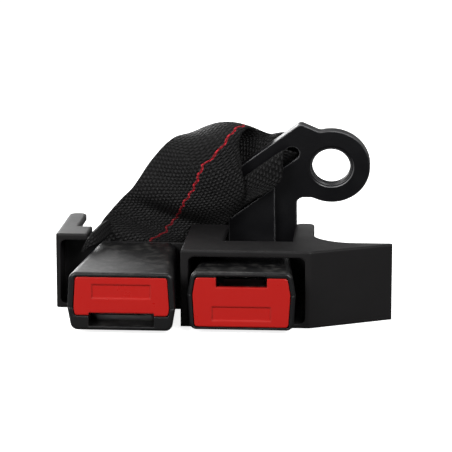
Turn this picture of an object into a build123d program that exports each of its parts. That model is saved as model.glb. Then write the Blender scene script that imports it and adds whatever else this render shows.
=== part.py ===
from build123d import *
import os
from math import cos, hypot, radians, sin

# Twin rear seat belt buckle: two press buckles in one moulded boot. The centre one hangs
# on a doubled webbing strap that is looped round the bar of a flat anchor plate with a
# bolt eye. The outboard one is riveted to a bent steel stem that is welded to the plate.
# Millimetres. X runs across the buckles, Y runs away from their push buttons, Z is up.
# The origin is on the resting face, in the middle of the part's width and depth.
# Each buckle is drawn in its own frame: X across, Y back from its face, Z up from its
# slot side. The centre buckle stands that way up and the outboard one is rolled over.

# Buckle housing: two shells that meet at a seam, where they are widest
housing_length = 58.5
housing_height = 23.6
housing_width = 43.4
housing_rear_width = 34.6
seam_height = 9.2
sole_inset = 1.6
crown_inset = 0.9
shell_wall = 1.8
shell_floor = 1.6
face_wall = 2.2
housing_corner = 3.0
face_round = 1.2
tongue_slot_height = 4.3
strap_mouth_height = 9.0
frame_rib = 1.1

# Push button
button_recess = 0.4
button_relief = 1.0
button_wall = 2.2
button_gap = 0.35
button_travel = 5.0
button_corner = 1.2
skirt_inset = 1.2
skirt_wall = 1.3
skirt_depth = 8.0
leg_gap = 0.3
leg_thickness = 1.9
leg_height = 7.0
leg_overhang = 3.5
spring_boss_length = 3.0
legend_width = 23.4
legend_height = 5.6
legend_depth = 0.4

# Steel frame that carries the belt load
steel = 1.8
frame_side_room = 7.9
frame_front = 12.0
frame_end_room = 6.5
frame_wall_height = 12.0
frame_wall_inset = 3.0

# Lock pin, latch, ejector and their springs
lock_pin_radius = 1.5
lock_pin_setback = 22.0
lock_pin_z = 13.2
pin_slack = 0.2
latch_plate = 2.2
latch_pivot_setback = 13.5
latch_pivot_z = 9.6
latch_pivot_radius = 1.6
latch_side_gap = 0.6
latch_heel = 2.2
latch_tip_y = 17.3
latch_tip_width = 16.0
latch_window_margin = 0.8
running_gap = 0.06
latch_lift = 0.24
ejector_y = 14.0
ejector_length = 10.0
ejector_width = 8.0
ejector_height = 3.0
ejector_travel = 10.0
ejector_nose = 1.2
ejector_ramp = 6.0
ejector_keel_width = 3.8
ejector_keel_length = 6.0
ejector_keel_depth = 1.26
sliding_gap = 0.15
button_spring_radius = 2.6
button_spring_wire = 0.7
button_spring_z = 15.8
button_spring_room = 6.0
ejector_spring_radius = 1.3
ejector_spring_wire = 0.5
stop_tab_setback = 12.0
stop_tab_width = 6.0
stop_tab_height = 3.8
spring_turns = 6

# Strap bar across the back of the centre frame, and the doubled webbing round it
strap_bar_radius = 2.5
strap_bar_setback = 5.0
strap_bar_z = 10.0
strap_thickness = 1.3
strap_gap = 0.3
strap_crown = 0.2
strap_fold_side_gap = 0.5
strap_fold_length = 5.5
strap_width = 45.0
strap_mouth_margin = 3.6

# Boot: two sleeves side by side, the centre one set back, with a swept wing
boot_height = 31.5
boot_wall = 2.0
boot_roof = 2.6
boot_floor = 1.7
boot_divider = 3.0
sleeve_corner = 2.5
side_gap = 0.6
centre_sleeve_slack = 9.4
outboard_sleeve_slack = 3.8
centre_protrusion = 45.0
outboard_protrusion = 12.0
sleeve_stagger = 29.2
boot_edge_round = 0.8
boot_stop_wall = 2.0
boot_stop_gap = 0.4
boot_stop_height = 24.5
boot_window_gap = 1.6
centre_finger_length = 28.7
centre_finger_width = 7.6
outboard_finger_length = 5.0
outboard_finger_width = 8.0
finger_depth = 20.0
finger_tip_round = 3.2
land_past_housing = 6.5
land_width = 15.8
centre_roof_width = 13.4
roof_past_housing = 3.0
outboard_notch_reach = 19.8
outboard_notch_width = 28.4
wing_reach = 32.8
wing_sweep = 17.5
wing_fillet = 18.0
boot_corner = 2.0

# Anchor plate: flat steel with a round eye and one slot for the webbing
plate_thickness = 3.5
plate_lean = 15.0
eye_radius = 16.4
eye_bore_radius = 8.0
eye_bore_chamfer = 0.6
eye_from_buckle_x = 33.7
eye_from_buckle_y = 68.1
eye_z = 57.0
shoulder_x = 12.9
shoulder_y = 19.5
shoulder_dip = 6.0
neck_y = 14.4
bar_slope = 38.0
bar_width = 5.5
bar_length = 66.0
slot_width = 47.0
slot_height = 6.0
slot_end_margin = 11.0
slot_lip = 5.5
plate_foot = 37.5
foot_width = 12.0
leg_x = 14.6
plate_corner = 2.5
neck_fillet = 3.0

# Stem: steel strip welded to the front of the plate's leg and riveted to the outboard frame
stem_thickness = 2.5
stem_side_gap = 2.1
stem_bend = 6.0
stem_slot_gap = 4.0
stem_mouth_gap = 0.5
stem_rivet_radius = 2.0
stem_rivet_head = 3.2
stem_rivet_rise = 1.2
stem_rivet_pitch = 10.0
stem_rivet_setback = 4.5

# Cuts run this far past the faces they open
overcut = 1.0

# Places that follow from the sizes above
housing_half = housing_width / 2
frame_half_width = housing_half - frame_side_room
frame_rear = housing_length - frame_end_room
lock_pin_y = frame_rear - lock_pin_setback
latch_pivot_y = frame_rear - latch_pivot_setback
stop_tab_y = frame_rear - stop_tab_setback
strap_bar_y = frame_rear - strap_bar_setback
stem_rivet_y = frame_rear - stem_rivet_setback
button_spring_stop_y = lock_pin_y - button_spring_room
strap_fold_width = 2 * (frame_half_width - steel - strap_fold_side_gap)
stem_width = 2 * (frame_half_width - steel - stem_side_gap)
centre_roof_reach = housing_length - centre_protrusion + roof_past_housing
centre_finger_reach = centre_roof_reach + centre_finger_length
land_reach = housing_length - outboard_protrusion + land_past_housing
outboard_finger_reach = land_reach + outboard_finger_length
boot_width = (2 * boot_wall + boot_divider + 2 * housing_width
              + centre_sleeve_slack + outboard_sleeve_slack + wing_reach)
boot_left = -boot_width / 2
boot_right = boot_width / 2
centre_sleeve_left = boot_left + boot_wall
centre_sleeve_right = centre_sleeve_left + housing_width + centre_sleeve_slack
outboard_sleeve_left = centre_sleeve_right + boot_divider
outboard_sleeve_right = outboard_sleeve_left + housing_width + outboard_sleeve_slack
wing_root = outboard_sleeve_right + boot_wall
centre_x = centre_sleeve_right - side_gap - housing_half
outboard_x = outboard_sleeve_left + side_gap + housing_half
front_y = -(centre_protrusion + centre_finger_reach) / 2
centre_mouth_y = front_y + centre_protrusion
outboard_mouth_y = centre_mouth_y - sleeve_stagger
outboard_front_y = outboard_mouth_y - outboard_protrusion
land_y = outboard_mouth_y + land_reach
eye_x = outboard_x + eye_from_buckle_x
eye_y = outboard_front_y + eye_from_buckle_y
frame_top = shell_floor + steel
slot_top = shell_floor + tongue_slot_height
leg_inner = frame_half_width + leg_gap
leg_outer = leg_inner + leg_thickness
strap_mouth_width = housing_rear_width - 2 * strap_mouth_margin
stem_mouth_width = stem_width + 2 * stem_mouth_gap
stem_mouth_height = stem_thickness + stem_rivet_rise + 2 * stem_mouth_gap
tip_bottom = frame_top + running_gap + ejector_height + latch_lift

# The two buckles differ in their face: a wide slot below a plain button, and a
# narrower slot that is notched into a taller button with an ear on each side
styles = {
    "centre": {"slot_width": 26.2, "low": 6.1, "high": 21.6, "rim": 2.6, "notched": False,
               "legend_z": 15.8, "mouth_width": strap_mouth_width,
               "mouth_height": strap_mouth_height, "mouth_z": strap_bar_z},
    "outboard": {"slot_width": 20.4, "low": 2.4, "high": 22.3, "rim": 2.2, "notched": True,
                 "legend_z": 17.0, "mouth_width": stem_mouth_width,
                 "mouth_height": stem_mouth_height,
                 "mouth_z": frame_top + (stem_thickness + stem_rivet_rise) / 2},
}
centre_place = Location((centre_x, front_y, boot_floor))
outboard_place = Location((outboard_x, outboard_front_y, boot_floor + housing_height),
                          (0, 180, 0))

os.makedirs("parts", exist_ok=True)


def upright(y):
    """The plane across the buckle at depth y, with X across and Z up."""
    return Plane.XZ.offset(-y)


def sideways(x):
    """The plane along the buckle at position x, with Y across and Z up."""
    return Plane.YZ.offset(x)


def save(piece, name, place):
    """Put a finished piece in its place, name it and write it."""
    placed = piece.part.moved(place)
    placed.label = name
    export_step(placed, f"parts/{name}.step")


def half_width(z, y):
    """Half of the housing's outer width at height z and depth y."""
    taper = (housing_width - housing_rear_width) / 2 * y / housing_length
    if z < seam_height:
        return housing_half - taper - sole_inset * (1 - z / seam_height)
    crown = (z - seam_height) / (housing_height - seam_height)
    return housing_half - taper - crown_inset * crown


def shell_section(y, flat_z, inset, corner):
    """Section of one shell at depth y: from the seam to a flat at height flat_z."""
    seam_x = half_width(seam_height, y) - inset
    flat_x = half_width(flat_z, y) - inset
    with BuildSketch(upright(y)) as section:
        with BuildLine():
            Polyline((-seam_x, seam_height), (-flat_x, flat_z), (flat_x, flat_z),
                     (seam_x, seam_height), close=True)
        make_face()
        outer = -1 if flat_z > seam_height else 0
        fillet(section.vertices().group_by(Axis.Y)[outer], corner)
    return section.sketch


def button_outline(style, y, margin):
    """Outline of the push button at depth y, grown or shrunk by a margin."""
    heights = (style["low"] - margin, seam_height, style["high"] + margin)
    sides = [(half_width(z, 0) - style["rim"] + margin, z) for z in heights]
    with BuildSketch(upright(y)) as outline:
        with BuildLine():
            Polyline(*[(-x, z) for x, z in sides], *[(x, z) for x, z in reversed(sides)],
                     close=True)
        make_face()
        rows = outline.vertices().group_by(Axis.Y)
        fillet(rows[0] + rows[-1], button_corner)
    return outline.sketch


def housing_shell(style, flat_z, inner_z):
    """One hollow shell of the housing, with a channel that the button slides in."""
    channel = button_recess + button_wall + button_travel + button_gap
    with BuildPart() as shell:
        loft([shell_section(y, flat_z, 0, housing_corner) for y in (0, housing_length)])
        face_edges = shell.edges().group_by(Axis.Y)[0]
        fillet([e for e in face_edges if abs(e.center().Z - seam_height) > 0.1], face_round)
        loft([shell_section(y, inner_z, shell_wall, housing_corner - shell_wall)
              for y in (face_wall, housing_length - shell_wall)], mode=Mode.SUBTRACT)
        extrude(button_outline(style, -overcut, button_gap), amount=overcut + channel,
                dir=(0, 1, 0), mode=Mode.SUBTRACT)
        # the way out for the strap or the stem
        with BuildSketch(upright(housing_length - 2 * shell_wall)):
            with Locations((0, style["mouth_z"])):
                Rectangle(style["mouth_width"], style["mouth_height"])
        extrude(amount=-3 * shell_wall, mode=Mode.SUBTRACT)
    return shell


def housing_lower(style):
    """Slot side of the housing: tongue slot, and ribs beside the steel frame."""
    shell = housing_shell(style, 0, shell_floor)
    with BuildPart() as lower:
        add(shell.part)
        with BuildSketch(upright(-overcut)):
            with Locations((0, shell_floor)):
                Rectangle(style["slot_width"], tongue_slot_height,
                          align=(Align.CENTER, Align.MIN))
        extrude(amount=-(face_wall + 2 * overcut), mode=Mode.SUBTRACT)
        with BuildSketch(Plane.XY.offset(shell_floor)):
            with GridLocations(2 * frame_half_width + frame_rib, 0, 2, 1):
                with Locations((0, (frame_front + frame_rear) / 2)):
                    Rectangle(frame_rib, frame_rear - frame_front)
        extrude(amount=steel)
    return lower


def housing_upper(style):
    """Crown side of the housing: the button spring's stop, and pads on the frame."""
    shell = housing_shell(style, housing_height, housing_height - shell_wall)
    roof = housing_height - shell_wall
    with BuildPart() as upper:
        add(shell.part)
        with BuildSketch(Plane.XY.offset(roof)):
            with Locations((0, button_spring_stop_y + shell_wall / 2)):
                Rectangle(4 * button_spring_radius, shell_wall)
        extrude(amount=-(roof - button_spring_z + button_spring_radius))
        with BuildSketch(Plane.XY.offset(roof)):
            with GridLocations(2 * frame_half_width - steel, 0, 2, 1):
                with Locations((0, stop_tab_y)):
                    Rectangle(steel, 2 * steel)
        extrude(amount=-(roof - frame_top - frame_wall_height))
    return upper


def frame(style):
    """Steel channel: base, two side walls, slots for the pins and the ejector's guide, and
    at the back the holes for the strap bar or for the stem's rivets."""
    wall_start = frame_front + frame_wall_inset
    wall_end = frame_rear
    with BuildPart() as channel:
        with BuildSketch(Plane.XY.offset(shell_floor)) as base:
            with Locations((0, (frame_front + frame_rear) / 2)):
                Rectangle(2 * frame_half_width, frame_rear - frame_front)
            fillet(base.vertices().group_by(Axis.Y)[0], frame_wall_inset)
            guide_start = ejector_y + ejector_length / 2 - ejector_keel_length / 2
            guide_length = ejector_keel_length + ejector_travel + 2 * sliding_gap
            with Locations((0, guide_start - sliding_gap)):
                Rectangle(ejector_keel_width + 2 * sliding_gap, guide_length,
                          align=(Align.CENTER, Align.MIN), mode=Mode.SUBTRACT)
            if style["notched"]:
                with Locations((0, stem_rivet_y)):
                    with GridLocations(stem_rivet_pitch, 0, 2, 1):
                        Circle(stem_rivet_radius, mode=Mode.SUBTRACT)
        extrude(amount=steel)
        for side in (-1, 1):
            wall_x = side * (frame_half_width - steel / 2)
            with BuildSketch(sideways(wall_x - steel / 2)) as wall:
                with Locations(((wall_start + wall_end) / 2, frame_top)):
                    Rectangle(wall_end - wall_start, frame_wall_height,
                              align=(Align.CENTER, Align.MIN))
                fillet(wall.vertices().group_by(Axis.Y)[-1], frame_wall_inset)
                with Locations((lock_pin_y + button_travel / 2, lock_pin_z)):
                    SlotCenterToCenter(button_travel, 2 * (lock_pin_radius + pin_slack),
                                       mode=Mode.SUBTRACT)
                with Locations((latch_pivot_y, latch_pivot_z)):
                    Circle(latch_pivot_radius + running_gap, mode=Mode.SUBTRACT)
                if not style["notched"]:
                    with Locations((strap_bar_y, strap_bar_z)):
                        Circle(strap_bar_radius, mode=Mode.SUBTRACT)
            extrude(amount=steel)
        # tab that the ejector's spring pushes on
        with BuildSketch(Plane.XY.offset(frame_top)):
            with Locations((0, stop_tab_y + steel / 2)):
                Rectangle(stop_tab_width, steel)
        extrude(amount=stop_tab_height)
    return channel


def latch():
    """Forked latch plate: a tip that drops into the tongue, a window that clears the
    ejector, and a pivot stub in each side wall of the frame."""
    half = frame_half_width - steel - latch_side_gap
    underside = latch_pivot_z - latch_plate / 2
    window_half = ejector_width / 2 + latch_window_margin
    heel = latch_pivot_y + latch_heel
    with BuildPart() as plate:
        with BuildSketch(Plane.XY.offset(underside)) as outline:
            with Locations((0, latch_tip_y)):
                Rectangle(2 * half, heel - latch_tip_y, align=(Align.CENTER, Align.MIN))
            fillet(outline.vertices().group_by(Axis.Y)[0], half - latch_tip_width / 2)
            with Locations((0, latch_tip_y + 2 * latch_plate)):
                Rectangle(2 * window_half, latch_pivot_y - 2 * latch_plate - latch_tip_y
                          - 2 * latch_plate, align=(Align.CENTER, Align.MIN),
                          mode=Mode.SUBTRACT)
        extrude(amount=latch_plate)
        with BuildSketch(Plane.XY.offset(underside)):
            with Locations((0, latch_tip_y)):
                Rectangle(latch_tip_width, latch_plate, align=(Align.CENTER, Align.MIN))
        extrude(amount=-(underside - tip_bottom))
        with BuildSketch(sideways(-frame_half_width)):
            with Locations((latch_pivot_y, latch_pivot_z)):
                Circle(latch_pivot_radius)
        extrude(amount=2 * frame_half_width)
    return plate


def ejector():
    """Plastic slide that pushes the tongue out: a ramped nose lifts the latch, and a
    keel runs in the frame's guide slot."""
    sole = frame_top + running_gap
    with BuildPart() as slider:
        with BuildSketch(sideways(-ejector_width / 2)):
            with BuildLine():
                Polyline((ejector_y, sole), (ejector_y + ejector_length, sole),
                         (ejector_y + ejector_length, sole + ejector_height),
                         (ejector_y + ejector_ramp, sole + ejector_height),
                         (ejector_y, sole + ejector_nose), close=True)
            make_face()
        extrude(amount=ejector_width)
        with BuildSketch(Plane.XY.offset(sole)):
            with Locations((0, ejector_y + ejector_length / 2)):
                Rectangle(ejector_keel_width, ejector_keel_length)
        extrude(amount=-ejector_keel_depth)
    return slider


def coil_spring(start_y, end_y, z, radius, wire):
    """Helical spring along Y between two faces."""
    length = end_y - start_y - wire
    with BuildPart() as spring:
        with BuildLine() as coil:
            Helix(length / spring_turns, length, radius, center=(0, start_y + wire / 2, z),
                  direction=(0, 1, 0))
        with BuildSketch(Plane(origin=coil.line @ 0, z_dir=coil.line % 0)):
            Circle(wire / 2)
        sweep(is_frenet=True)
    return spring


def button(style):
    """Push button: face with a recessed legend panel, a skirt behind it, a boss for its
    spring and two legs that carry the lock pin past the frame."""
    back = button_recess + button_wall
    leg_length = lock_pin_y + leg_overhang - back
    with BuildPart() as press:
        extrude(button_outline(style, button_recess, 0), amount=button_wall, dir=(0, 1, 0))
        if style["notched"]:
            with BuildSketch(upright(0)):
                with Locations((0, 0)):
                    Rectangle(style["slot_width"], 2 * (slot_top + button_gap))
            extrude(amount=-back - overcut, mode=Mode.SUBTRACT)
        else:
            with BuildSketch(upright(0)):
                with Locations((0, style["low"])):
                    Rectangle(style["slot_width"], 2 * button_relief)
            extrude(amount=-back - overcut, mode=Mode.SUBTRACT)
        with BuildSketch(upright(button_recess)):
            with Locations((0, style["legend_z"])):
                Rectangle(legend_width, legend_height)
        extrude(amount=-legend_depth, mode=Mode.SUBTRACT)
        with BuildSketch(upright(back)):
            add(skirt_band(style))
        extrude(amount=-skirt_depth)
        with BuildSketch(upright(back)):
            with GridLocations(2 * leg_inner + leg_thickness, 0, 2, 1):
                with Locations((0, lock_pin_z)):
                    Rectangle(leg_thickness, leg_height)
        extrude(amount=-leg_length)
        with BuildSketch(upright(back)):
            with Locations((0, button_spring_z)):
                Circle(button_spring_radius - button_spring_wire)
        extrude(amount=-spring_boss_length)
        with BuildSketch(sideways(-leg_outer)):
            with Locations((lock_pin_y, lock_pin_z)):
                Circle(lock_pin_radius)
        extrude(amount=2 * leg_outer, mode=Mode.SUBTRACT)
    return press


def skirt_band(style):
    """Wall that stiffens the button, above the legs. Pressed home, it clears the inside of
    the tapered housing by the button's gap."""
    low = lock_pin_z - leg_height / 2
    top = style["high"] - skirt_inset
    reach = button_recess + button_wall + skirt_depth + button_travel
    side = half_width(top, reach) - shell_wall - button_gap
    with BuildSketch() as band:
        with Locations((0, low)):
            Rectangle(2 * side, top - low, align=(Align.CENTER, Align.MIN))
            Rectangle(2 * (side - skirt_wall), top - low - skirt_wall,
                      align=(Align.CENTER, Align.MIN), mode=Mode.SUBTRACT)
    return band.sketch


def cross_bar(y, z, radius, half_length):
    """Plain steel pin that lies across the buckle."""
    with BuildPart() as bar:
        with BuildSketch(sideways(-half_length)):
            with Locations((y, z)):
                Circle(radius)
        extrude(amount=2 * half_length)
    return bar


def stem_rivets():
    """Two rivets that hold the outboard frame to the stem."""
    with BuildPart() as rivets:
        with BuildSketch(Plane.XY.offset(shell_floor)):
            with Locations((0, stem_rivet_y)):
                with GridLocations(stem_rivet_pitch, 0, 2, 1):
                    Circle(stem_rivet_radius)
        extrude(amount=steel + stem_thickness)
        with BuildSketch(Plane.XY.offset(frame_top + stem_thickness)):
            with Locations((0, stem_rivet_y)):
                with GridLocations(stem_rivet_pitch, 0, 2, 1):
                    Circle(stem_rivet_head)
        extrude(amount=stem_rivet_rise)
    return rivets


def buckle(prefix, style, place):
    """Every piece of one buckle, written in its place."""
    back = button_recess + button_wall
    ejector_back = ejector_y + ejector_length
    pieces = {
        "housing_lower": housing_lower(style),
        "housing_upper": housing_upper(style),
        "frame": frame(style),
        "latch": latch(),
        "ejector": ejector(),
        "button": button(style),
        "lock_pin": cross_bar(lock_pin_y, lock_pin_z, lock_pin_radius, leg_outer),
        "button_spring": coil_spring(back, button_spring_stop_y, button_spring_z,
                                     button_spring_radius, button_spring_wire),
        "ejector_spring": coil_spring(ejector_back, stop_tab_y,
                                      frame_top + running_gap + ejector_height / 2,
                                      ejector_spring_radius, ejector_spring_wire),
    }
    if style["notched"]:
        pieces["rivets"] = stem_rivets()
    else:
        pieces["strap_bar"] = cross_bar(strap_bar_y, strap_bar_z, strap_bar_radius,
                                        frame_half_width)
    for name, piece in pieces.items():
        save(piece, f"{prefix}_{name}", place)


def boot():
    """One moulding: two staggered sleeves, a swept wing, and a roof with two notches
    that leave a land between them and a finger at each side."""
    flank = hypot(wing_reach, wing_sweep)
    inner_flank_y = outboard_mouth_y + boot_wall * flank / wing_reach
    pocket_sweep = (wing_reach + overcut) * wing_sweep / wing_reach
    wing_back = outboard_mouth_y + wing_sweep + boot_wall
    finger_left_y = centre_mouth_y + centre_finger_reach
    finger_right_y = outboard_mouth_y + outboard_finger_reach
    rear_y = max(finger_left_y, finger_right_y) + overcut
    with BuildPart() as moulding:
        with BuildSketch() as plan:
            with BuildLine():
                Polyline((boot_left, centre_mouth_y), (centre_sleeve_right, centre_mouth_y),
                         (centre_sleeve_right, outboard_mouth_y), (wing_root, outboard_mouth_y),
                         (boot_right, outboard_mouth_y + wing_sweep), (boot_right, wing_back),
                         (wing_root, wing_back), (wing_root, finger_right_y),
                         (wing_root - outboard_finger_width, finger_right_y),
                         (wing_root - outboard_finger_width, land_y),
                         (boot_left + centre_finger_width, land_y),
                         (boot_left + centre_finger_width, finger_left_y),
                         (boot_left, finger_left_y), close=True)
            make_face()
            inner = plan.vertices().sort_by_distance((wing_root, wing_back))[0]
            fillet(inner, wing_fillet)
            tips = plan.vertices().filter_by_position(Axis.Y, finger_right_y - 0.1, rear_y)
            fillet(tips, finger_tip_round)
            mouths = [(boot_left, centre_mouth_y), (wing_root, outboard_mouth_y)]
            fillet([plan.vertices().sort_by_distance(p)[0] for p in mouths], boot_corner)
        extrude(amount=boot_height)
        # the two sleeves, open at both ends
        with BuildSketch(upright(rear_y)) as bores:
            for left, right in ((centre_sleeve_left, centre_sleeve_right),
                                (outboard_sleeve_left, outboard_sleeve_right)):
                with Locations(((left + right) / 2, (boot_floor + boot_height - boot_roof) / 2)):
                    RectangleRounded(right - left, boot_height - boot_roof - boot_floor,
                                     sleeve_corner)
        extrude(amount=rear_y - outboard_mouth_y + overcut, mode=Mode.SUBTRACT)
        # the hollow under the wing, behind its flank
        with BuildSketch() as pocket:
            with BuildLine():
                Polyline((wing_root, inner_flank_y),
                         (boot_right + overcut, inner_flank_y + pocket_sweep),
                         (boot_right + overcut, rear_y), (wing_root, rear_y), close=True)
            make_face()
        extrude(amount=boot_height - boot_roof, mode=Mode.SUBTRACT)
        # the centre sleeve is open above but for a short roof at its side, and the
        # outboard sleeve has a notch behind its roof
        land_right = wing_root - outboard_finger_width - outboard_notch_width
        land_left = land_right - land_width
        with BuildSketch(Plane.XY.offset(boot_height - boot_roof - sleeve_corner)):
            with Locations((boot_left + centre_roof_width, centre_mouth_y - overcut)):
                Rectangle(land_left - boot_left - centre_roof_width, rear_y + housing_length,
                          align=(Align.MIN, Align.MIN))
            with Locations((boot_left + centre_finger_width, centre_mouth_y + centre_roof_reach)):
                Rectangle(land_left - boot_left - centre_finger_width, rear_y,
                          align=(Align.MIN, Align.MIN))
            with Locations((land_right, outboard_mouth_y + outboard_notch_reach)):
                Rectangle(outboard_notch_width, rear_y, align=(Align.MIN, Align.MIN))
        extrude(amount=boot_roof + 2 * sleeve_corner, mode=Mode.SUBTRACT)
        # a wall behind each buckle, with a window for its strap or its stem
        with BuildSketch(upright(front_y + housing_length + boot_stop_gap)):
            with Locations((centre_sleeve_left - boot_wall / 2, boot_floor / 2)):
                Rectangle(boot_left + centre_roof_width - centre_sleeve_left,
                          boot_height - boot_roof, align=(Align.MIN, Align.MIN))
                Rectangle(centre_sleeve_right - centre_sleeve_left + boot_wall,
                          boot_stop_height, align=(Align.MIN, Align.MIN))
            with Locations((centre_x, boot_floor + strap_bar_z)):
                Rectangle(strap_mouth_width + 2 * boot_window_gap,
                          strap_mouth_height + 2 * boot_window_gap, mode=Mode.SUBTRACT)
        extrude(amount=-boot_stop_wall)
        with BuildSketch(upright(outboard_front_y + housing_length + boot_stop_gap)):
            with Locations((outboard_sleeve_left - boot_wall / 2, boot_floor / 2)):
                Rectangle(outboard_sleeve_right - outboard_sleeve_left + boot_wall,
                          boot_stop_height, align=(Align.MIN, Align.MIN))
            with Locations((outboard_x, boot_floor + housing_height - styles["outboard"]["mouth_z"])):
                Rectangle(stem_mouth_width, stem_mouth_height, mode=Mode.SUBTRACT)
        extrude(amount=-boot_stop_wall)
        # the fingers stand clear of the floor behind the land
        with BuildSketch():
            with Locations((0, land_y)):
                Rectangle(2 * boot_width, rear_y, align=(Align.CENTER, Align.MIN))
        extrude(amount=boot_height - finger_depth, mode=Mode.SUBTRACT)
        fillet(moulding.edges().filter_by_position(Axis.Z, boot_height, boot_height),
               boot_edge_round)
    return moulding


def plate_plane():
    """Middle plane of the anchor plate: it leans its top towards the buttons, and its
    origin is the centre of the eye."""
    lean = radians(plate_lean)
    return Plane(origin=(eye_x, eye_y, eye_z), x_dir=(1, 0, 0), z_dir=(0, -cos(lean), -sin(lean)))


def bar_frame():
    """Start of the bar at the plate's shoulder, and unit steps along and across it."""
    slope = radians(bar_slope)
    along = Vector(-cos(slope), -sin(slope))
    across = Vector(sin(slope), -cos(slope))
    return Vector(-shoulder_x, shoulder_y), along, across


def anchor_plate():
    """Flat plate: round eye, shoulder, sloping bar, webbing slot and foot."""
    shoulder, along, across = bar_frame()
    bar_end = shoulder + along * bar_length
    heel = bar_end + across * (bar_width + slot_height + slot_lip)
    slot_middle = (shoulder + along * (slot_end_margin + slot_width / 2)
                   + across * (bar_width + slot_height / 2))
    middle = plate_plane()
    with BuildPart() as plate:
        with BuildSketch(middle.offset(-plate_thickness / 2)) as outline:
            with BuildLine():
                Polyline((0, shoulder_y - shoulder_dip), (shoulder.X, shoulder.Y),
                         (bar_end.X, bar_end.Y), (heel.X, heel.Y),
                         (-leg_x - foot_width, -plate_foot), (-leg_x, -plate_foot),
                         (-leg_x, -neck_y), (0, -neck_y), close=True)
            make_face()
            body_corners = [v for v in outline.vertices() if v.X < -leg_x / 2 and
                            (v.Y < -eye_radius or v.Y > shoulder_y - 1)]
            fillet(body_corners, plate_corner)
            Circle(eye_radius)
            necks = [v for v in outline.vertices() if abs(hypot(v.X, v.Y) - eye_radius) < 0.01]
            fillet(necks, neck_fillet)
            fillet(outline.vertices().sort_by_distance((-leg_x, -neck_y))[:1], neck_fillet)
            Circle(eye_bore_radius, mode=Mode.SUBTRACT)
            with Locations(slot_middle):
                SlotOverall(slot_width + slot_height, slot_height, rotation=bar_slope,
                            mode=Mode.SUBTRACT)
        extrude(amount=plate_thickness)
        bore_edges = [e for e in plate.edges().filter_by(GeomType.CIRCLE)
                      if abs(e.radius - eye_bore_radius) < 0.01]
        chamfer(bore_edges, eye_bore_chamfer)
    return plate


def stem():
    """Steel strip: its upper end lies on the front of the plate's leg, cut parallel to the
    slot, and its foot is bent forward under the outboard frame."""
    shoulder, along, across = bar_frame()
    middle = plate_plane()
    face_out = (plate_thickness + stem_thickness) / 2
    slot_lower = shoulder + across * (bar_width + slot_height + stem_slot_gap)
    foot_z = outboard_place.position.Z - frame_top - stem_thickness / 2
    foot_end = outboard_place.position.Y + stem_rivet_y - stem_rivet_head - stem_mouth_gap
    top = middle.from_local_coords(Vector(0, 0, face_out))
    below = middle.from_local_coords(Vector(0, -1, face_out))
    fall = (top.Z - foot_z) / (top.Z - below.Z)
    knee = top + (below - top) * fall
    with BuildPart() as strip:
        with BuildSketch(sideways(outboard_x - stem_width / 2)):
            with BuildLine() as bend:
                Polyline((top.Y, top.Z), (knee.Y, knee.Z), (foot_end, foot_z))
                fillet(bend.vertices().sort_by_distance((0, knee.Y, knee.Z))[:1], stem_bend)
            trace(line_width=stem_thickness)
        extrude(amount=stem_width)
        # cut off above a line parallel to the slot
        with BuildSketch(middle.offset(-eye_radius)):
            with BuildLine():
                low = slot_lower + along * bar_length
                high = slot_lower - along * bar_length
                Polyline((low.X, low.Y), (high.X, high.Y), (high.X, high.Y + bar_length),
                         (low.X, high.Y + bar_length), close=True)
            make_face()
        extrude(amount=2 * eye_radius, mode=Mode.SUBTRACT)
        with BuildSketch(Plane.XY.offset(foot_z - stem_thickness)):
            with Locations((outboard_x, outboard_place.position.Y + stem_rivet_y)):
                with GridLocations(stem_rivet_pitch, 0, 2, 1):
                    Circle(stem_rivet_radius)
        extrude(amount=2 * stem_thickness, mode=Mode.SUBTRACT)
    return strip


def place_point(location, x, y, z):
    """A point of a buckle's own frame, in the part's frame."""
    return (location * Location((x, y, z))).position


def level_section(y, rise, width):
    """Left edge, middle and right edge of the strap where it lies level in the centre
    buckle, at depth y and a rise above the strap bar."""
    return tuple(place_point(centre_place, x, y, strap_bar_z + rise)
                 for x in (-width / 2, 0, width / 2))


def free_section(points):
    """Three points of the hanging strap, which are given in the centre buckle's frame."""
    return tuple(place_point(centre_place, *point) for point in points)


def bar_section(steps_across, steps_out):
    """The strap's section beside the plate's bar: steps across the bar towards the slot,
    and out of the plate towards the buttons."""
    shoulder, along, across = bar_frame()
    middle = plate_plane()
    flat = (shoulder + along * (slot_end_margin + slot_width / 2)
            + across * (bar_width / 2 + steps_across))
    half = along * (strap_width / 2)
    ends = (flat + half, flat, flat - half)
    return tuple(middle.from_local_coords(Vector(end.X, end.Y, steps_out)) for end in ends)


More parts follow.
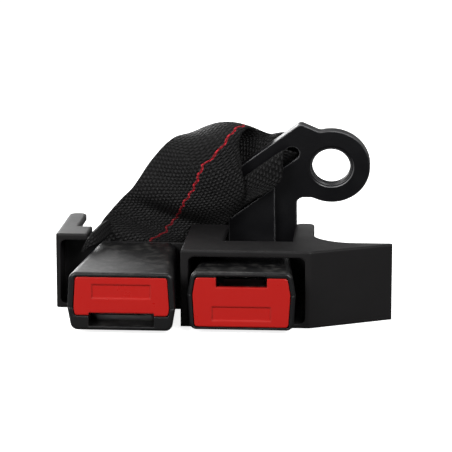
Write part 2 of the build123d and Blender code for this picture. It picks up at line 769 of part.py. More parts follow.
def strap_sections():
    """Left edge, middle and right edge of the webbing at each station: from the strap bar
    up in front, over the plate's bar, forward through its slot and down behind."""
    wrap = strap_bar_radius + strap_gap + strap_thickness / 2
    lie = (strap_thickness + strap_gap) / 2
    fold_y = strap_bar_y + strap_fold_length
    exit_y = housing_length + overcut
    exit_width = strap_mouth_width - 2 * strap_gap
    reach = bar_width / 2 + strap_gap + strap_thickness / 2 + strap_crown
    depth = plate_thickness / 2 + strap_gap + strap_thickness / 2 + strap_crown
    rising = [
        ((-14.4, 62.7, 15.7), (0.4, 63.1, 14.1), (14.8, 63.9, 13.3)),
        ((-19.6, 62.7, 22.3), (2.2, 63.4, 18.6), (18.4, 67.9, 14.7)),
        ((-16.7, 62.7, 28.8), (4.9, 63.7, 22.7), (21.9, 70.9, 16.5)),
        ((-10.9, 63.1, 36.9), (19.9, 69.7, 25.8), (30.9, 71.5, 22.1)),
        ((-6.8, 63.5, 41.5), (19.6, 70.1, 31.3), (35.0, 70.7, 27.7)),
        ((-2.4, 64.1, 45.9), (18.9, 63.7, 37.3), (38.9, 69.4, 33.1)),
        ((5.3, 65.6, 57.2), (23.6, 61.7, 46.1), (44.8, 65.7, 43.2)),
        ((12.6, 67.1, 65.3), (27.9, 60.9, 56.5), (43.9, 64.3, 55.5)),
        ((17.8, 70.6, 67.5), (32.9, 64.1, 68.9), (43.0, 65.9, 67.2)),
        ((20.9, 75.1, 65.9), (33.4, 70.6, 72.5), (45.6, 70.5, 70.5)),
        ((22.9, 81.6, 55.3), (39.9, 78.1, 64.3), (55.8, 74.7, 67.7)),
    ]
    falling = [
        ((26.2, 73.3, 34.7), (43.8, 69.8, 46.4), (62.4, 66.7, 56.9)),
        ((20.9, 71.3, 36.5), (40.8, 67.7, 43.9), (60.8, 65.9, 50.7)),
        ((13.9, 69.5, 39.1), (35.4, 67.5, 42.1), (56.8, 67.7, 45.5)),
        ((6.4, 68.3, 40.5), (28.4, 67.5, 39.3), (49.8, 69.1, 41.3)),
        ((-1.1, 67.9, 38.5), (21.4, 69.5, 35.3), (43.8, 70.6, 36.9)),
        ((-8.1, 65.9, 32.7), (17.9, 71.7, 29.9), (37.9, 72.3, 30.7)),
        ((-12.8, 64.9, 24.3), (13.4, 69.9, 21.7), (30.4, 73.7, 22.3)),
        ((-13.6, 64.9, 18.3), (4.9, 67.1, 15.7), (22.9, 73.3, 15.9)),
        ((-14.0, 64.9, 13.3), (1.4, 65.5, 11.9), (16.9, 67.5, 11.5)),
        ((-13.6, 62.9, 9.6), (0.4, 63.1, 9.4), (14.8, 63.7, 9.3)),
    ]
    return [
        level_section(strap_bar_y - strap_gap, wrap, strap_fold_width),
        level_section(fold_y, (wrap + lie) / 2, strap_fold_width),
        level_section(exit_y, lie, exit_width),
        *[free_section(section) for section in rising],
        bar_section(0, -depth),
        bar_section(reach, -depth),
        bar_section(reach * 1.2, 0),
        bar_section(reach * 1.2, depth),
        *[free_section(section) for section in falling],
        level_section(exit_y, -lie, exit_width),
        level_section(fold_y, -(wrap + lie) / 2, strap_fold_width),
        level_section(strap_bar_y - strap_gap, -wrap, strap_fold_width),
    ]


def band_section(left, middle, right, run):
    """Bent strip of the webbing's thickness through three points, square to the direction
    run in which the strap goes."""
    across = (right - left).normalized()
    thick = run.cross(across).normalized()
    step = middle - left
    bow = step.dot(thick)
    if abs(bow) < strap_crown:
        bow = strap_crown
    points = [Vector(0, 0), Vector(step.dot(across), bow), Vector((right - left).length, 0)]
    first = (points[1] - points[0]).normalized()
    second = (points[2] - points[1]).normalized()
    mean = (first + second).normalized()
    sides = [Vector(-step.Y, step.X) * (strap_thickness / 2) for step in (first, mean, second)]
    upper = [point + side for point, side in zip(points, sides)]
    lower = [point - side for point, side in zip(points, sides)]
    with BuildSketch(Plane(origin=left, x_dir=across, z_dir=across.cross(thick))) as section:
        with BuildLine():
            Polyline(*[(p.X, p.Y) for p in lower + upper[::-1]], close=True)
        make_face()
    return section.sketch


def strap():
    """Doubled webbing: one band, folded round the centre buckle's strap bar."""
    stations = strap_sections()
    last = len(stations) - 1
    sections = []
    for index, (left, middle, right) in enumerate(stations):
        run = stations[min(index + 1, last)][1] - stations[max(index - 1, 0)][1]
        sections.append(band_section(left, middle, right, run))
    side = Plane(centre_place * Location(Plane.YZ.offset(-strap_fold_width / 2)))
    with BuildPart() as band:
        loft(sections, ruled=True)
        with BuildSketch(side):
            with Locations((strap_bar_y, strap_bar_z)):
                Circle(strap_bar_radius + strap_gap + strap_thickness)
                Circle(strap_bar_radius + strap_gap, mode=Mode.SUBTRACT)
                Rectangle(housing_length, housing_length, align=(Align.MIN, Align.CENTER),
                          mode=Mode.SUBTRACT)
        extrude(amount=strap_fold_width)
    return band


buckle("centre", styles["centre"], centre_place)
buckle("outboard", styles["outboard"], outboard_place)
save(boot(), "boot", Location())
save(anchor_plate(), "anchor_plate", Location())
save(stem(), "outboard_stem", Location())
save(strap(), "strap", Location())
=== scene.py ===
# %% [markdown]
# The object is a twin seat belt buckle: two red push buttons in one black moulded boot,
# a doubled webbing strap, and a flat steel anchor plate with a bolt eye. The imported CAD
# model gives every rigid piece at its real size, so this script adds only what CAD leaves
# out: woven webbing with its sewn flap, coil springs, and the finish of each surface.
# Everything is in metres in the CAD's own frame, so nothing is fitted afterwards.

# %% Load the frame
import bpy
import numpy as np
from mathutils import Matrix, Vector


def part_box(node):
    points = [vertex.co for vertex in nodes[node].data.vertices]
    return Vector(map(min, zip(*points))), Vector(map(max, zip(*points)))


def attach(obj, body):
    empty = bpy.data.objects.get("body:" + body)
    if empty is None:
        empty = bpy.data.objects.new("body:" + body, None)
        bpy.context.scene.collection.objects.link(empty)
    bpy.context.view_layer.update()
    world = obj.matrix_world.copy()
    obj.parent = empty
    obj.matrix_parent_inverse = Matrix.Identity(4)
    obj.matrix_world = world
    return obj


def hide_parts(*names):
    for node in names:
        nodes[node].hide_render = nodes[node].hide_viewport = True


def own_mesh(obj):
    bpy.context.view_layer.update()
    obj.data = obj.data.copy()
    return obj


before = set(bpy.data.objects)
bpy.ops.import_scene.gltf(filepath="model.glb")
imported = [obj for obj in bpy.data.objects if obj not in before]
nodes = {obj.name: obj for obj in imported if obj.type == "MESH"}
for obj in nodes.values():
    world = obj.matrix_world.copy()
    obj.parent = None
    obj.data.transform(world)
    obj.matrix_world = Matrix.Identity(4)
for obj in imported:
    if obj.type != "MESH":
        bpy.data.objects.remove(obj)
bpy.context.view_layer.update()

MM = 0.001
# the middle of the anchor plate's eye, in mm, its bore and the seat of the bolt's shoulder
EYE = np.array([43.9, 26.8, 57.0])
BORE_RADIUS = 8.0
SEAT_RADIUS = 9.6
# the side of the eye where a painted highlight crescent lies on the bolt's seat
HIGHLIGHT_SIDE = (0.55, 0.2, -0.8)

# %% [markdown]
# The camera of a product photograph stands far back with a long lens, so the buckles look
# almost flat. It is set here by three numbers that can be read off such a picture: how far
# it turns round the object, how far it looks down, and how far away it is. The lens then
# follows from the width of the picture.

# %% Camera
TARGET = Vector((0.0033, -0.0292, 0.0416))
AZIMUTH = np.radians(4.0)
ELEVATION = np.radians(11.5)
DISTANCE = 0.9
SENSOR = 36.0
FOCAL_PIXELS = 2250.0
PICTURE_PIXELS = 452.0

back = Vector((np.sin(AZIMUTH) * np.cos(ELEVATION), -np.cos(AZIMUTH) * np.cos(ELEVATION),
               np.sin(ELEVATION)))
camera_data = bpy.data.cameras.new("camera")
camera_data.sensor_width = SENSOR
camera_data.lens = SENSOR * FOCAL_PIXELS / PICTURE_PIXELS
camera = bpy.data.objects.new("camera", camera_data)
bpy.context.scene.collection.objects.link(camera)
camera.location = TARGET + back * DISTANCE
camera.rotation_euler = back.to_track_quat("Z", "Y").to_euler()
bpy.context.scene.camera = camera
bpy.context.scene.view_settings.view_transform = "Standard"
print("lens", round(camera_data.lens, 1), "mm")


# %% [markdown]
# Materials are built from small node trees. Five helpers keep them short: they add a node
# with its values, join sockets, work out a sum, blend two colours, and start a node group
# whose sockets have names. Worn edges, moulding grain, dust and weave are each a group, so
# that each effect is built once.

# %% Node helpers
def add_node(tree, kind, **values):
    """One shader node; values are its properties, or its inputs when they are in quotes."""
    node = tree.nodes.new("ShaderNode" + kind)
    for key, value in values.items():
        if hasattr(node, key):
            setattr(node, key, value)
        else:
            node.inputs[key.replace("_", " ")].default_value = value
    return node


def join(tree, *pairs):
    """Links (from socket, to socket) pairs."""
    for source, target in pairs:
        tree.links.new(source, target)


def maths(tree, operation, first, second=None, clamp=False):
    """A Math node on sockets or plain numbers; returns its output."""
    node = tree.nodes.new("ShaderNodeMath")
    node.operation = operation
    node.use_clamp = clamp
    for socket, value in zip(node.inputs, (first, second)):
        if value is None:
            continue
        if isinstance(value, (int, float)):
            socket.default_value = value
        else:
            tree.links.new(value, socket)
    return node.outputs[0]


def blend_colours(tree, mask, first, second):
    """Mix of two colours by a mask; each may be a socket or an (r, g, b) triple."""
    node = tree.nodes.new("ShaderNodeMix")
    node.data_type = "RGBA"
    tree.links.new(mask, node.inputs["Factor"])
    for name, value in (("A", first), ("B", second)):
        socket = [s for s in node.inputs if s.name == name and s.type == "RGBA"][0]
        if isinstance(value, tuple):
            socket.default_value = (*value, 1.0)
        else:
            tree.links.new(value, socket)
    return [s for s in node.outputs if s.type == "RGBA"][0]


def new_group(name, inputs, outputs):
    """An empty node group with named sockets; returns it with its two end nodes."""
    tree = bpy.data.node_groups.new(name, "ShaderNodeTree")
    for label, kind, value in inputs:
        socket = tree.interface.new_socket(label, in_out="INPUT", socket_type="NodeSocket" + kind)
        if value is not None:
            socket.default_value = value
    for label, kind in outputs:
        tree.interface.new_socket(label, in_out="OUTPUT", socket_type="NodeSocket" + kind)
    return tree, tree.nodes.new("NodeGroupInput"), tree.nodes.new("NodeGroupOutput")


# %% [markdown]
# Handling polishes the edges of moulded plastic and rubs the coat of a steel plate. The
# Bevel node gives the normal of a rounded edge; where that differs from the flat normal
# there is an edge, and noise breaks the line up as wear does.

# %% Edge wear group
wear_group, wear_in, wear_out = new_group(
    "edge wear", [("Radius", "Float", 0.0006), ("Patch Scale", "Float", 180.0)],
    [("Mask", "Float")])
wear_bevel = add_node(wear_group, "Bevel", samples=6)
wear_geometry = add_node(wear_group, "NewGeometry")
wear_dot = add_node(wear_group, "VectorMath", operation="DOT_PRODUCT")
wear_coords = add_node(wear_group, "TexCoord")
wear_noise = add_node(wear_group, "TexNoise", Detail=4.0)
join(wear_group,
     (wear_in.outputs["Radius"], wear_bevel.inputs["Radius"]),
     (wear_bevel.outputs[0], wear_dot.inputs[0]),
     (wear_geometry.outputs["Normal"], wear_dot.inputs[1]),
     (wear_coords.outputs["Object"], wear_noise.inputs["Vector"]),
     (wear_in.outputs["Patch Scale"], wear_noise.inputs["Scale"]))
wear_edge = maths(wear_group, "MULTIPLY", maths(wear_group, "SUBTRACT", 1.0,
                                                wear_dot.outputs["Value"]), 6.0, clamp=True)
wear_patch = maths(wear_group, "MULTIPLY", wear_noise.outputs[0], 1.6, clamp=True)
join(wear_group, (maths(wear_group, "MULTIPLY", wear_edge, wear_patch), wear_out.inputs[0]))

# %% [markdown]
# A moulding tool is spark-eroded or blasted, which leaves a fine pebble grain on the
# plastic. Two layers of cells, coarse and fine, give that grain as a height for a Bump
# node, and a broad noise gives the uneven sheen that hands and cleaning leave.

# %% Moulded grain group
grain_group, grain_in, grain_out = new_group(
    "moulded grain", [("Pebbles", "Float", 1500.0), ("Sheen Patches", "Float", 60.0)],
    [("Height", "Float"), ("Patches", "Float")])
grain_coords = add_node(grain_group, "TexCoord")
grain_cells = add_node(grain_group, "TexVoronoi")
grain_noise = add_node(grain_group, "TexNoise", Detail=3.0)
grain_patches = add_node(grain_group, "TexNoise", Detail=5.0, Roughness=0.65)
join(grain_group,
     (grain_coords.outputs["Object"], grain_cells.inputs["Vector"]),
     (grain_coords.outputs["Object"], grain_noise.inputs["Vector"]),
     (grain_coords.outputs["Object"], grain_patches.inputs["Vector"]),
     (grain_in.outputs["Pebbles"], grain_cells.inputs["Scale"]),
     (grain_in.outputs["Pebbles"], grain_noise.inputs["Scale"]),
     (grain_in.outputs["Sheen Patches"], grain_patches.inputs["Scale"]),
     (grain_patches.outputs[0], grain_out.inputs["Patches"]))
join(grain_group, (maths(grain_group, "ADD", grain_cells.outputs["Distance"],
                         grain_noise.outputs[0]), grain_out.inputs["Height"]))

# %% [markdown]
# Dust settles on what faces up. The height part of the surface normal says where that is,
# and noise makes it patchy.

# %% Dust group
dust_group, dust_in, dust_out = new_group(
    "dust", [("Scale", "Float", 300.0)], [("Mask", "Float")])
dust_geometry = add_node(dust_group, "NewGeometry")
dust_split = add_node(dust_group, "SeparateXYZ")
dust_coords = add_node(dust_group, "TexCoord")
dust_noise = add_node(dust_group, "TexNoise", Detail=6.0, Roughness=0.7)
join(dust_group,
     (dust_geometry.outputs["Normal"], dust_split.inputs[0]),
     (dust_coords.outputs["Object"], dust_noise.inputs["Vector"]),
     (dust_in.outputs["Scale"], dust_noise.inputs["Scale"]))
dust_up = maths(dust_group, "MULTIPLY", dust_split.outputs["Z"], 1.0, clamp=True)
dust_speck = maths(dust_group, "MULTIPLY",
                   maths(dust_group, "SUBTRACT", dust_noise.outputs[0], 0.48), 3.0, clamp=True)
join(dust_group, (maths(dust_group, "MULTIPLY", dust_up, dust_speck), dust_out.inputs[0]))


def place_group(tree, group, **values):
    """One use of a node group, with its own values."""
    node = tree.nodes.new("ShaderNodeGroup")
    node.node_tree = group
    for key, value in values.items():
        node.inputs[key.replace("_", " ")].default_value = value
    return node


def new_material(name):
    """An empty material; returns it with its tree and its Principled shader."""
    material = bpy.data.materials.new(name)
    material.use_nodes = True
    tree = material.node_tree
    return material, tree, tree.nodes["Principled BSDF"]


# %% [markdown]
# The boot, the housings and the buttons are injection mouldings. They share one recipe: a
# base colour that lightens on worn edges and under dust, a roughness that wanders with the
# patches, and a grain. A Bevel node rounds the light on edges that the CAD leaves crisp.

# %% Moulded plastic
def moulded_plastic(name, colour, worn, roughness, dust=0.25, grain=0.00002, round_edge=0.0005,
                    pebbles=1500.0, shine=0.5):
    """Injection moulded plastic; dust, grain and shine say how strongly each one shows."""
    material, tree, shader = new_material(name)
    wear = place_group(tree, wear_group)
    grain_node = place_group(tree, grain_group, Pebbles=pebbles)
    dust_node = place_group(tree, dust_group)
    edge = maths(tree, "MULTIPLY", wear.outputs["Mask"], 0.55)
    body = blend_colours(tree, edge, colour, worn)
    dusty = maths(tree, "MULTIPLY", dust_node.outputs["Mask"], dust)
    join(tree, (blend_colours(tree, dusty, body, (0.30, 0.29, 0.27)),
                shader.inputs["Base Color"]))
    patchy = maths(tree, "MULTIPLY", maths(tree, "SUBTRACT", grain_node.outputs["Patches"], 0.5),
                   0.22)
    join(tree, (maths(tree, "ADD", patchy, roughness), shader.inputs["Roughness"]))
    shader.inputs["Specular IOR Level"].default_value = shine
    rounding = add_node(tree, "Bevel", samples=6, Radius=round_edge)
    bump = add_node(tree, "Bump", Strength=0.6, Distance=grain)
    join(tree, (grain_node.outputs["Height"], bump.inputs["Height"]),
         (rounding.outputs[0], bump.inputs["Normal"]),
         (bump.outputs[0], shader.inputs["Normal"]))
    return material


boot_plastic = moulded_plastic("boot plastic", (0.0125, 0.0118, 0.0122), (0.04, 0.04, 0.042),
                               0.45, dust=0.03, round_edge=0.0011, shine=0.25)
housing_plastic = moulded_plastic("housing plastic", (0.005, 0.005, 0.0055),
                                  (0.04, 0.04, 0.042), 0.36, dust=0.30, pebbles=1900.0,
                                  round_edge=0.0009)
button_plastic = moulded_plastic("button plastic", (0.50, 0.010, 0.007), (0.62, 0.05, 0.04),
                                 0.30, dust=0.02, grain=0.000012, round_edge=0.0009)
slide_plastic = moulded_plastic("slide plastic", (0.60, 0.58, 0.53), (0.66, 0.64, 0.60), 0.45)


# %% [markdown]
# Steel shows in three ways here. The frames, latches and pins are plated and drawn, with
# fine streaks along the way they were rolled. The springs are drawn wire. The anchor plate
# has a semi-gloss black dip coat that is thin at its edges, where grey steel shows; the grey
# is made strong enough to serve also as a painted highlight along the edges, and a painted
# highlight crescent lies beside the eye.

# %% Steel
def bright_steel(name, colour, roughness, stretch):
    """Bare or plated steel with rolling streaks; stretch squeezes the streaks per axis."""
    material, tree, shader = new_material(name)
    coords = add_node(tree, "TexCoord")
    mapping = add_node(tree, "Mapping", Scale=stretch)
    streaks = add_node(tree, "TexNoise", Scale=900.0, Detail=5.0)
    wear = place_group(tree, wear_group, Radius=0.0003)
    join(tree, (coords.outputs["Object"], mapping.inputs["Vector"]),
         (mapping.outputs[0], streaks.inputs["Vector"]))
    edge = maths(tree, "MULTIPLY", wear.outputs["Mask"], 0.7)
    join(tree, (blend_colours(tree, edge, colour, (0.80, 0.80, 0.80)),
                shader.inputs["Base Color"]))
    wander = maths(tree, "MULTIPLY", maths(tree, "SUBTRACT", streaks.outputs[0], 0.5), 0.25)
    join(tree, (maths(tree, "ADD", wander, roughness), shader.inputs["Roughness"]))
    bump = add_node(tree, "Bump", Strength=0.3, Distance=0.00001)
    join(tree, (streaks.outputs[0], bump.inputs["Height"]),
         (bump.outputs[0], shader.inputs["Normal"]))
    shader.inputs["Metallic"].default_value = 1.0
    return material


frame_steel = bright_steel("frame steel", (0.52, 0.52, 0.53), 0.34, (1.0, 0.08, 1.0))
pin_steel = bright_steel("pin steel", (0.60, 0.60, 0.61), 0.24, (0.08, 1.0, 1.0))
spring_steel = bright_steel("spring steel", (0.42, 0.42, 0.44), 0.30, (1.0, 1.0, 1.0))


def coated_plate():
    """Black dip coat on steel: glossy where it pooled, worn to grey along the edges. The grey is
    made strong enough to serve also as a painted highlight, and a painted highlight crescent lies
    by the eye.
    """
    material, tree, shader = new_material("plate coat")
    wear = place_group(tree, wear_group, Radius=0.0009, Patch_Scale=260.0)
    grain_node = place_group(tree, grain_group, Pebbles=700.0, Sheen_Patches=90.0)
    dust_node = place_group(tree, dust_group, Scale=500.0)
    # the seat of the bolt's shoulder: a ring round the eye, sunk by a smooth step between two
    # radii, with a painted highlight crescent at its lower right, and a dull wall inside the bore
    coords = add_node(tree, "TexCoord")
    reach = add_node(tree, "VectorMath", operation="DISTANCE")
    reach.inputs[1].default_value = MM * EYE
    away = add_node(tree, "VectorMath", operation="SUBTRACT")
    away.inputs[1].default_value = MM * EYE
    toward = add_node(tree, "VectorMath", operation="DOT_PRODUCT")
    toward.inputs[1].default_value = HIGHLIGHT_SIDE
    join(tree, (coords.outputs["Object"], reach.inputs[0]),
         (coords.outputs["Object"], away.inputs[0]), (away.outputs[0], toward.inputs[0]))
    off_ring = maths(tree, "ABSOLUTE", maths(tree, "SUBTRACT", reach.outputs["Value"],
                                           SEAT_RADIUS * MM))
    band = maths(tree, "SUBTRACT", 1.0, maths(tree, "DIVIDE", off_ring, 0.00035), clamp=True)
    # only the lower right of the ring gets the painted highlight
    side = maths(tree, "MULTIPLY", toward.outputs["Value"], 90.0, clamp=True)
    painted_crescent = maths(tree, "MULTIPLY", band, side)
    inside = add_node(tree, "MapRange")
    for label, value in (("From Min", (BORE_RADIUS + 0.1) * MM),
                         ("From Max", (BORE_RADIUS + 0.3) * MM), ("To Min", 0.05),
                         ("To Max", 0.5)):
        inside.inputs[label].default_value = value
    # grey edge wear, made strong enough to be a painted highlight on the edges, plus the painted
    # highlight crescent
    edge = maths(tree, "ADD", maths(tree, "MULTIPLY", wear.outputs["Mask"], 0.7),
                 maths(tree, "MULTIPLY", painted_crescent, 0.9), clamp=True)
    body = blend_colours(tree, edge, (0.007, 0.007, 0.008), (0.30, 0.30, 0.31))
    dusty = maths(tree, "MULTIPLY", dust_node.outputs["Mask"], 0.12)
    join(tree, (blend_colours(tree, dusty, body, (0.25, 0.24, 0.22)),
                shader.inputs["Base Color"]))
    patchy = maths(tree, "MULTIPLY", maths(tree, "SUBTRACT", grain_node.outputs["Patches"], 0.5),
                   0.4)
    join(tree, (maths(tree, "ADD", patchy, 0.36), shader.inputs["Roughness"]))
    join(tree, (reach.outputs["Value"], inside.inputs["Value"]),
         (inside.outputs[0], shader.inputs["Specular IOR Level"]))
    ring = add_node(tree, "MapRange", interpolation_type="SMOOTHSTEP")
    for label, value in (("From Min", (SEAT_RADIUS - 0.3) * MM),
                         ("From Max", (SEAT_RADIUS + 0.3) * MM), ("To Min", 0.0),
                         ("To Max", 1.0)):
        ring.inputs[label].default_value = value
    join(tree, (reach.outputs["Value"], ring.inputs["Value"]))
    rounding = add_node(tree, "Bevel", samples=6, Radius=0.0009)
    pressed = add_node(tree, "Bump", Strength=1.0, Distance=0.0004)
    bump = add_node(tree, "Bump", Strength=0.35, Distance=0.00005)
    join(tree, (ring.outputs[0], pressed.inputs["Height"]),
         (rounding.outputs[0], pressed.inputs["Normal"]),
         (grain_node.outputs["Height"], bump.inputs["Height"]),
         (pressed.outputs[0], bump.inputs["Normal"]),
         (bump.outputs[0], shader.inputs["Normal"]))
    return material


plate_coat = coated_plate()


# %% [markdown]
# Seat belt webbing is a twill of polyester yarns. From near by it shows rows of small oval
# seeds, each row half a seed on from the next. The weave group makes them from two sine
# waves over the band's own length and width, which its UV map gives in metres. One yarn in
# the middle is coloured, and it snakes a little, as a marking yarn does.

# %% Webbing
SNAKE_LENGTH = 4.8 * MM
SNAKE_REACH = 0.3 * MM
weave_group, weave_in, weave_out = new_group(
    "webbing weave", [("Pitch Across", "Float", 0.0015), ("Pitch Along", "Float", 0.0018),
                      ("Thread Half Width", "Float", 0.0005)],
    [("Height", "Float"), ("Thread", "Float"), ("Fuzz", "Float")])
weave_uv = add_node(weave_group, "UVMap", uv_map="weave")
weave_split = add_node(weave_group, "SeparateXYZ")
weave_fuzz = add_node(weave_group, "TexNoise", Scale=2600.0, Detail=4.0)
weave_coords = add_node(weave_group, "TexCoord")
join(weave_group, (weave_uv.outputs[0], weave_split.inputs[0]),
     (weave_coords.outputs["Object"], weave_fuzz.inputs["Vector"]),
     (weave_fuzz.outputs[0], weave_out.inputs["Fuzz"]))
weave_u, weave_v = weave_split.outputs["X"], weave_split.outputs["Y"]
weave_column = maths(weave_group, "DIVIDE", weave_u, weave_in.outputs["Pitch Across"])
weave_shift = maths(weave_group, "MULTIPLY", maths(weave_group, "FLOOR", weave_column), 0.5)
weave_row = maths(weave_group, "ADD", weave_shift,
                  maths(weave_group, "DIVIDE", weave_v, weave_in.outputs["Pitch Along"]))
seed_across = maths(weave_group, "ABSOLUTE", maths(
    weave_group, "SINE", maths(weave_group, "MULTIPLY", weave_column, float(np.pi))))
seed_along = maths(weave_group, "ABSOLUTE", maths(
    weave_group, "SINE", maths(weave_group, "MULTIPLY", weave_row, float(np.pi))))
join(weave_group, (maths(weave_group, "MULTIPLY", seed_across, seed_along),
                   weave_out.inputs["Height"]))
snake = maths(weave_group, "MULTIPLY", maths(weave_group, "SINE", maths(
    weave_group, "MULTIPLY", weave_v, 2 * float(np.pi) / SNAKE_LENGTH)), SNAKE_REACH)
thread_off = maths(weave_group, "ABSOLUTE", maths(weave_group, "SUBTRACT", weave_u, snake))
on_thread = maths(weave_group, "LESS_THAN", thread_off, weave_in.outputs["Thread Half Width"])
weave_face = add_node(weave_group, "UVMap", uv_map="face")
face_split = add_node(weave_group, "SeparateXYZ")
outer_face = maths(weave_group, "LESS_THAN", face_split.outputs["X"], 0.5)
join(weave_group, (weave_face.outputs[0], face_split.inputs[0]),
     (maths(weave_group, "MULTIPLY", on_thread, outer_face), weave_out.inputs["Thread"]))


def woven_webbing():
    """Black webbing with a soft sheen and one red yarn. Its colour is darker in the hollows
    between the yarns as painted shade and lighter on the seed tops as a painted sheen, and the red
    yarn is darker towards the bottom.
    """
    material, tree, shader = new_material("webbing")
    weave = place_group(tree, weave_group)
    # painted sheen and shade: the seed tops are lighter and the hollows between the yarns darker
    painted_seed_sheen = maths(tree, "MULTIPLY", weave.outputs["Height"], maths(
        tree, "MULTIPLY", maths(tree, "SUBTRACT", weave.outputs["Fuzz"], 0.30), 2.6, clamp=True))
    yarn = blend_colours(tree, painted_seed_sheen, (0.0008, 0.0008, 0.0008), (0.024, 0.023, 0.024))
    coords = add_node(tree, "TexCoord")
    split = add_node(tree, "SeparateXYZ")
    join(tree, (coords.outputs["Object"], split.inputs[0]))
    # the red yarn is darker towards the bottom and brighter higher up
    higher_up = maths(tree, "MULTIPLY", maths(tree, "SUBTRACT", split.outputs["Z"], 0.030), 45.0,
                  clamp=True)
    bright = blend_colours(tree, higher_up, (0.22, 0.006, 0.012), (0.80, 0.02, 0.04))
    # the red yarn too is darker in the hollows, as painted shade
    red = blend_colours(tree, weave.outputs["Height"], (0.10, 0.002, 0.005), bright)
    join(tree, (blend_colours(tree, weave.outputs["Thread"], yarn, red),
                shader.inputs["Base Color"]))
    fuzzy = maths(tree, "MULTIPLY", weave.outputs["Fuzz"], 0.7)
    height = maths(tree, "ADD", weave.outputs["Height"], fuzzy)
    bump = add_node(tree, "Bump", Strength=1.0, Distance=0.00045)
    join(tree, (height, bump.inputs["Height"]), (bump.outputs[0], shader.inputs["Normal"]))
    shader.inputs["Roughness"].default_value = 0.55
    shader.inputs["Specular IOR Level"].default_value = 0.25
    shader.inputs["Sheen Weight"].default_value = 0.02
    return material


webbing = woven_webbing()

# %% [markdown]
# Each CAD node takes its finish by assigning to its material slot. The names of the pieces
# say which finish they get.

# %% Dress the CAD pieces
finishes = {"housing_lower": housing_plastic, "housing_upper": housing_plastic,
            "frame": frame_steel, "latch": frame_steel, "ejector": slide_plastic,
            "button": button_plastic, "lock_pin": pin_steel, "strap_bar": pin_steel,
            "button_spring": spring_steel, "ejector_spring": spring_steel,
            "boot": boot_plastic, "anchor_plate": plate_coat, "stem": plate_coat,
            "rivets": pin_steel}
for name, piece in nodes.items():
    plain = name.replace("centre_", "").replace("outboard_", "")
    if plain in finishes:
        piece.data.materials.clear()
        piece.data.materials.append(finishes[plain])
print("dressed", len(nodes), "nodes")


# %% [markdown]
# New pieces are grids of points worked out with numpy. One helper turns a grid into a mesh:
# row i and column j are joined to their neighbours, and a direction that closes on itself
# joins its last row or column to its first.

# %% Grid to mesh
def grid_mesh(name, points, maps=None, close_rows=False, close_columns=False, ends=False):
    """Mesh from an (rows, columns, 3) array of points. maps holds UV maps by name, each an
    array of the same grid, one row and column larger where that direction closes. ends adds
    a fan over the first and last row."""
    rows, columns = points.shape[:2]
    i = np.arange(rows if close_rows else rows - 1)[:, None]
    j = np.arange(columns if close_columns else columns - 1)[None, :]
    i2, j2 = (i + 1) % rows, (j + 1) % columns
    quads = np.stack([i * columns + j, i * columns + j2, i2 * columns + j2, i2 * columns + j],
                     axis=-1).reshape(-1, 4)
    faces = quads.tolist()
    if ends:
        faces.append(list(range(columns))[::-1])
        faces.append(list(range((rows - 1) * columns, rows * columns)))
    mesh = bpy.data.meshes.new(name)
    mesh.from_pydata(points.reshape(-1, 3).tolist(), [], faces)
    for label, uv in (maps or {}).items():
        corners = np.stack([uv[i, j], uv[i, j + 1], uv[i + 1, j + 1], uv[i + 1, j]], axis=2)
        layer = mesh.uv_layers.new(name=label)
        flat = np.zeros(len(mesh.loops) * 2)
        flat[:corners.size] = corners.reshape(-1)
        layer.data.foreach_set("uv", flat)
    mesh.validate()
    mesh.shade_smooth()
    piece = bpy.data.objects.new(name, mesh)
    bpy.context.scene.collection.objects.link(piece)
    return piece


def smooth_lines(stations, spacing, close=False):
    """Smooth curves through stations, an array (stations, lines, 3). All lines share one
    parameter, the running length of their mean. Each stretch is a cubic whose end slopes
    are the slopes of the two neighbouring chords, weighted by the other chord's length."""
    points = np.asarray(stations, float)
    if close:
        points = np.concatenate([points[-2:], points, points[:3]])
    chord = np.linalg.norm(np.diff(points, axis=0), axis=2).mean(axis=1)
    slope = np.diff(points, axis=0) / chord[:, None, None]
    before, after = chord[:-1, None, None], chord[1:, None, None]
    tangent = (slope[:-1] * after + slope[1:] * before) / (before + after)
    if close:
        points, chord = points[2:-2], chord[2:-2]
        tangent = tangent[1:-1]
    else:
        tangent = np.concatenate([slope[:1], tangent, slope[-1:]])
    place = np.concatenate([[0.0], np.cumsum(chord)])
    along = np.linspace(0, place[-1], int(round(place[-1] / spacing)) + 1)
    k = np.clip(np.searchsorted(place, along, side="right") - 1, 0, len(chord) - 1)
    h = chord[k][:, None, None]
    t = ((along - place[k]) / chord[k])[:, None, None]
    curves = ((2 * t ** 3 - 3 * t ** 2 + 1) * points[k]
              + (t ** 3 - 2 * t ** 2 + t) * h * tangent[k]
              + (3 * t ** 2 - 2 * t ** 3) * points[k + 1]
              + (t ** 3 - t ** 2) * h * tangent[k + 1])
    return curves, along, place


# %% [markdown]
# The strap is one length of seat belt webbing, doubled and sewn into a loop. It is folded
# round a bar inside the centre buckle, climbs in front, rolls over the sloping bar of the
# anchor plate, comes forward through the slot and goes back down behind itself. Three lines
# are laid along it: left edge, middle and right edge. They follow the CAD band as smooth
# curves, a little wider in the plate's slot, which the real webbing fills.

# %% Strap stations
LEAN = np.radians(15.0)
BAR_SLOPE = np.radians(38.0)
# the plate's own x and y, in mm from its eye: the shoulder where the bar starts, the way
# along the bar, the way across it, and the middle of the bar's top edge
SHOULDER = np.array([-12.9, 19.5])
ALONG_BAR = np.array([np.cos(BAR_SLOPE), np.sin(BAR_SLOPE)])
ACROSS_BAR = np.array([np.sin(BAR_SLOPE), -np.cos(BAR_SLOPE)])
TO_MIDDLE = 34.5
BAR_MIDDLE = SHOULDER - TO_MIDDLE * ALONG_BAR

